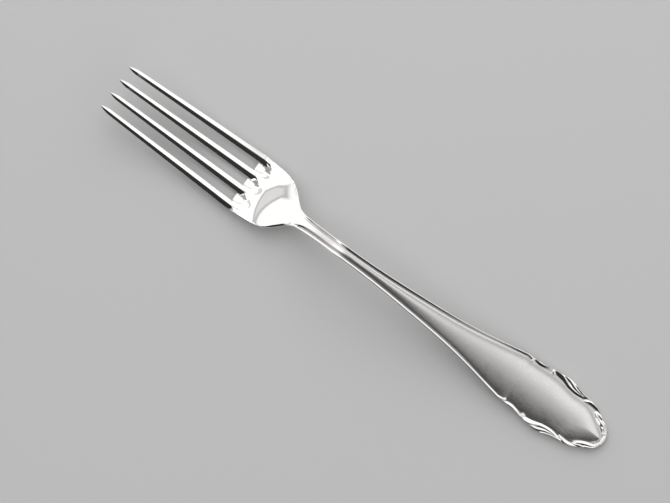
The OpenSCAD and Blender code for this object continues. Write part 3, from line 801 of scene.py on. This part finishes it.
class Shader:
    """Node tree of a material or a world."""

    def __init__(self, owner):
        owner.use_nodes = True
        self.tree = owner.node_tree
        self.tree.nodes.clear()

    def node(self, kind, settings=None, output=0, **sockets):
        """Adds a node by its type, and gives one of its outputs."""
        node = self.tree.nodes.new("ShaderNode" + kind)
        for name, value in (settings or {}).items():
            if name == "stops":
                ramp = node.color_ramp
                while len(ramp.elements) < len(value):
                    ramp.elements.new(0.5)
                for element, (place, shade) in zip(ramp.elements, value):
                    element.position = place
                    element.color = (shade, shade, shade, 1)
            else:
                setattr(node, name, value)
        for name, value in sockets.items():
            feed(node.inputs[name.replace("_", " ")], value)
        return Socket(self.tree, node.outputs[output]) if node.outputs else None

    def split(self, vector):
        """The three parts of a vector."""
        parts = self.node("SeparateXYZ", Vector=vector).output.node.outputs
        return [Socket(self.tree, part) for part in parts]

    def ramp(self, value, start, end):
        """Soft step from 0 at the start to 1 at the end."""
        return self.node("MapRange", {"interpolation_type": "SMOOTHSTEP"}, Value=value,
                         From_Min=start, From_Max=end)

    def blend(self, share, first, second, mode="MIX"):
        """Colour between two, each a socket or a constant."""
        mixer = self.tree.nodes.new("ShaderNodeMix")
        mixer.data_type, mixer.blend_type = "RGBA", mode
        for slot, value in zip((0, 6, 7), (share, first, second)):
            feed(mixer.inputs[slot], value)
        return Socket(self.tree, mixer.outputs[2])


def silver(name, finish, brushed):
    """Polished silver with fine wear, or satin silver whose attribute says where it is satin.

    Soft clouds and hairs, which are fine scratches, are on both, and brush lines on the satin.
    """
    material = bpy.data.materials.new(name)
    shader = Shader(material)
    place = shader.node("TexCoord", output=3)
    cloud = shader.node("TexNoise", Vector=place, Scale=CLOUD_SCALE, Detail=3.0)
    hair_place = shader.node("Mapping", Vector=place, Rotation=(0.0, 0.0, HAIR_TURN),
                             Scale=(HAIR_STRETCH, 1, 1))
    hair = shader.node("TexNoise", Vector=hair_place, Scale=HAIR_SCALE, Detail=2.0)
    polish = cloud * CLOUD_ROUGH + hair * HAIR_ROUGH + (finish.polish_roughness - POLISH_MEAN)
    tone = shader.node("ValToRGB", {"stops": [(0.25, 0.95), (0.75, 1.0)]}, Fac=cloud)
    bump_height = hair * 0.35
    roughness = polish
    colour = shader.blend(1.0, finish.silver, tone, "MULTIPLY")
    if brushed:
        mask = shader.node("Attribute", {"attribute_name": "satin"}, output=2)
        brush_place = shader.node("Mapping", Vector=place, Scale=(BRUSH_STRETCH, 1, 1))
        brush = shader.node("TexNoise", Vector=brush_place, Scale=BRUSH_SCALE, Detail=4.0)
        satin = brush * BRUSH_ROUGH + cloud * CLOUD_ROUGH + (finish.satin_roughness - SATIN_MEAN)
        roughness = satin * mask + polish * (1 - mask)
        bump_height = brush * mask + hair * 0.25
        colour = shader.blend(mask, colour, finish.satin)
    bump = shader.node("Bump", Height=bump_height, Strength=BRUSH_BUMP if brushed else HAIR_BUMP,
                       Distance=BUMP_DEPTH)
    surface = shader.node("BsdfPrincipled", Base_Color=colour, Roughness=roughness,
                          Normal=bump, Metallic=1.0)
    shader.node("OutputMaterial", Surface=surface)
    return material


class PieceOperator:
    """What the operators that make pieces share."""

    bl_options = {"REGISTER", "UNDO"}

    def finish(self, context, piece, node, brushed=False):
        """Gives a piece its silver and ties it to the frame."""
        name = "brushed_finish" if brushed else "mirror_finish"
        found = bpy.data.materials.get(name)
        piece.data.materials.clear()
        piece.data.materials.append(found or silver(name, context.scene.fork_finish, brushed))
        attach(piece, "root")
        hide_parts(node)


class FORK_OT_tines(PieceOperator, bpy.types.Operator):
    """Add the four tines"""

    bl_idname = "fork.tines"
    bl_label = "Tines"

    def execute(self, context):
        form = Form(context)
        for number in range(1, 5):
            node = f"tine_{number}"
            self.finish(context, shell(f"{node}_bright", tine_rings(form, number)), node)
        return {"FINISHED"}


class FORK_OT_palm(PieceOperator, bpy.types.Operator):
    """Add the dished palm with the bevelled slot ends"""

    bl_idname = "fork.palm"
    bl_label = "Palm"

    def execute(self, context):
        self.finish(context, shell("palm_bright", palm_rings(Form(context))), "palm")
        return {"FINISHED"}


class FORK_OT_shank(PieceOperator, bpy.types.Operator):
    """Add neck, stem and handle"""

    bl_idname = "fork.shank"
    bl_label = "Neck, stem and handle"

    def execute(self, context):
        form = Form(context)
        places = {
            "neck": spread(NECK_S, STEM_S, 110),
            "stem": spread(STEM_S, HANDLE_S, 150),
            "handle": run_of(spread(HANDLE_S, form.border_s, 110),
                             spread(form.border_s, form.round_s, 130),
                             crowded(form.round_s, END_S, 90)),
        }
        for node, s in places.items():
            piece = shell(f"{node}_satin", blank_rings(form, s, 46))
            satin_mask(form, piece)
            self.finish(context, piece, node, brushed=True)
        return {"FINISHED"}


class FORK_OT_threads(PieceOperator, bpy.types.Operator):
    """Add the two threads with their hooks"""

    bl_idname = "fork.threads"
    bl_label = "Threads"

    def execute(self, context):
        form = Form(context)
        bead = thread_rings(form, -0.045)
        hook = relief_rings(form, HOOK_STROKES, -0.075, 0.012, 2.2 * MM, 70, 46)
        for side, bead_side, hook_side in sides(bead, hook):
            piece = joined(
                f"thread_{side}_bright", shell("bead", bead_side), shell("hook", hook_side))
            self.finish(context, piece, f"thread_{side}")
        return {"FINISHED"}


class FORK_OT_border(PieceOperator, bpy.types.Operator):
    """Add the brackets, leaves, scrolls and end leaves"""

    bl_idname = "fork.border"
    bl_label = "Scrolled border"

    def execute(self, context):
        form = Form(context)
        # Strokes of each relief, its start and end along the border, its reach in from the edge,
        # and its counts of rings and of points across
        reliefs = {
            "bracket": (BRACKET_STROKES, -0.004, 0.225, 1.6 * MM, 150, 34),
            "leaf": (LEAF_STROKES, 0.195, 0.675, 3.6 * MM, 360, 96),
            "scroll": (SCROLL_STROKES, 0.595, 0.825, 2.5 * MM, 160, 52),
            "end_leaf": (END_LEAF_STROKES, 0.745, 0.985, 3 * MM, 260, 76),
        }
        for node, (strokes, *extent) in reliefs.items():
            for side, rings in sides(relief_rings(form, strokes, *extent)):
                name = f"{node}_{side}"
                self.finish(context, shell(f"{name}_bright", rings), name)
        return {"FINISHED"}


class FORK_OT_end_shell(PieceOperator, bpy.types.Operator):
    """Add the small shell over the very end"""

    bl_idname = "fork.end_shell"
    bl_label = "End shell"

    def execute(self, context):
        form = Form(context)
        half = relief_rings(form, SHELL_STROKES, 0.94, 1, 1.5 * MM, 60, 30)
        rings = np.concatenate([half, mirrored(half)[::-1, ::-1][1:]])
        self.finish(context, shell("end_shell_bright", rings), "end_shell")
        return {"FINISHED"}


class FORK_OT_stage(bpy.types.Operator):
    """Add the table, the camera and the lamps"""

    bl_idname = "fork.stage"
    bl_label = "Table, camera and lamps"

    # Where the tine tips and the end of the handle lie in the picture, in pixels
    tips_px = (115.55, 86.59)
    end_px = (604.4, 441.86)

    def execute(self, context):
        stage = context.scene.fork_stage
        self.add_table(stage)
        self.add_camera(context, stage)
        self.add_lamps(context, stage)
        context.scene.view_settings.view_transform = "Standard"
        return {"FINISHED"}

    def add_table(self, stage):
        deselect()
        bpy.ops.mesh.primitive_plane_add(size=4, location=(0, 0, 0))
        table = bpy.context.object
        table.name = "table"
        material = bpy.data.materials.new("table")
        shader = Shader(material)
        surface = shader.node("BsdfPrincipled", Base_Color=stage.table, Roughness=0.9)
        shader.node("OutputMaterial", Surface=surface)
        table.data.materials.append(material)

    def add_camera(self, context, stage):
        """Camera straight above the point that the picture's middle shows."""
        tips_px = Vector(self.tips_px)
        right = (Vector(self.end_px) - tips_px).to_3d().normalized()
        back = Vector((0, 0, 1))
        up = back.cross(right)
        away_px = Vector((stage.picture_w, stage.picture_h)) / 2 - tips_px
        tips = Vector((TIP_X + stage.pixel / 2, 0, 0))
        centre = tips + (right * away_px.x - up * away_px.y) * stage.pixel
        bpy.ops.object.camera_add()
        camera = context.object
        camera.name = "camera"
        camera.matrix_world = aimed(centre + back * stage.camera_height, right, up, back)
        width = stage.picture_w * stage.pixel
        camera.data.sensor_width = 36
        camera.data.lens = camera.data.sensor_width * stage.camera_height / width
        context.scene.camera = camera

    def add_lamps(self, context, stage):
        for name, box in SOFT_BOXES.items():
            lamp = self.soft_box(*box)
            lamp.name = name
            lamp.data.energy *= stage.light
            lamp.visible_glossy = name != "table"
        world = bpy.data.worlds.new("studio")
        context.scene.world = world
        shader = Shader(world)
        # Parts of a direction: along the fork, across it and upright
        x, y, z = shader.split(shader.node("TexCoord", output=0))
        room = shader.node("ValToRGB", {"stops": ROOM_ACROSS}, Fac=y * 0.5 + 0.5)
        overhead, far, corner = (x * along + y * across + more
                                 for along, across, more in CARDS.values())
        left = (x * -1 - 0.62).most(0) - 0.18 - y
        inside = overhead.most(far.least(y + FAR_CUT)).most(left).most(corner)
        cards = shader.node("ValToRGB", {"stops": CARD_EDGE}, Fac=inside * 5 + 0.5)
        # The low card is white below its top, dim beyond the tines, and grey above its top but for
        # one white patch
        slant, growth, limit = LOW_CARD_SLANT
        slant = ((z - LOW_CARD_TOP).most(0) * growth).least(limit) + slant
        within = (x - y * slant).maths("LESS_THAN", 0) * z.maths("GREATER_THAN", LOW_CARD_FOOT)
        low = shader.ramp(z, LOW_CARD_TOP + 0.03, LOW_CARD_TOP)
        dim = low * shader.ramp(x + y * -0.42, 0.02, -0.02) * (1 - LOW_CARD_DIM)
        near = shader.ramp(x, -0.46, -0.4) * shader.ramp(y, -0.74, -0.8)
        white = near.most(shader.ramp(z, LOW_CARD_TOP + 0.02, LOW_CARD_TOP - 0.02))
        low_card = within * (1 - dim) * white.most(LOW_CARD_GREY)
        # Where the cards end towards the handle, and where the low one takes over
        edge = y - shader.ramp(x, -0.55, -0.62) * 0.25
        beyond = shader.ramp(x, -0.15, -0.22) * shader.ramp(edge, -0.62, -0.56)
        room = shader.blend(beyond.most(shader.ramp(edge, -0.56, -0.62) * low_card), room, cards)
        room = shader.blend(shader.ramp(x, 0.4, 0.55), room, END_CARD)
        glow = shader.node("Background", Color=room, Strength=stage.light)
        shader.node("OutputWorld", Surface=glow)

    def soft_box(self, along, across, spread_x, spread_y, light, distance):
        """Large rectangular lamp that faces the fork."""
        away = Vector((along, across, math.sqrt(1 - along**2 - across**2)))
        side = Vector((0, 1, 0)).cross(away).normalized()
        bpy.ops.object.light_add(type="AREA")
        lamp = bpy.context.object
        lamp.matrix_world = aimed(away * distance, side, away.cross(side), away)
        lamp.data.shape = "RECTANGLE"
        lamp.data.size = 2 * distance * math.tan(math.radians(spread_x / 2))
        lamp.data.size_y = 2 * distance * math.tan(math.radians(spread_y / 2))
        lamp.data.energy = light * math.pi * lamp.data.size * lamp.data.size_y
        lamp.visible_camera = False
        return lamp


PARTS = (FORK_OT_tines, FORK_OT_palm, FORK_OT_shank, FORK_OT_threads, FORK_OT_border,
         FORK_OT_end_shell, FORK_OT_stage)


class FORK_PT_panel(bpy.types.Panel):
    """Sidebar panel with the fork's operators"""

    bl_idname = "FORK_PT_panel"
    bl_label = "Table Fork"
    bl_space_type = "VIEW_3D"
    bl_region_type = "UI"
    bl_category = "Fork"

    def draw(self, context):
        for part in PARTS:
            self.layout.operator(part.bl_idname)


GROUPS = {"fork_sizes": ForkSizes, "border_sizes": BorderSizes, "fork_finish": FinishSettings,
          "fork_stage": StageSettings}


def register():
    for name, group in GROUPS.items():
        bpy.utils.register_class(group)
        setattr(bpy.types.Scene, name, PointerProperty(type=group))
    for part in (*PARTS, FORK_PT_panel):
        bpy.utils.register_class(part)


def unregister():
    for part in (*PARTS, FORK_PT_panel):
        bpy.utils.unregister_class(part)
    for name, group in GROUPS.items():
        delattr(bpy.types.Scene, name)
        bpy.utils.unregister_class(group)


def main():
    register()
    bpy.ops.fork.tines()
    bpy.ops.fork.palm()
    bpy.ops.fork.shank()
    bpy.ops.fork.threads()
    bpy.ops.fork.border()
    bpy.ops.fork.end_shell()
    bpy.ops.fork.stage()


if __name__ == "__main__":
    main()
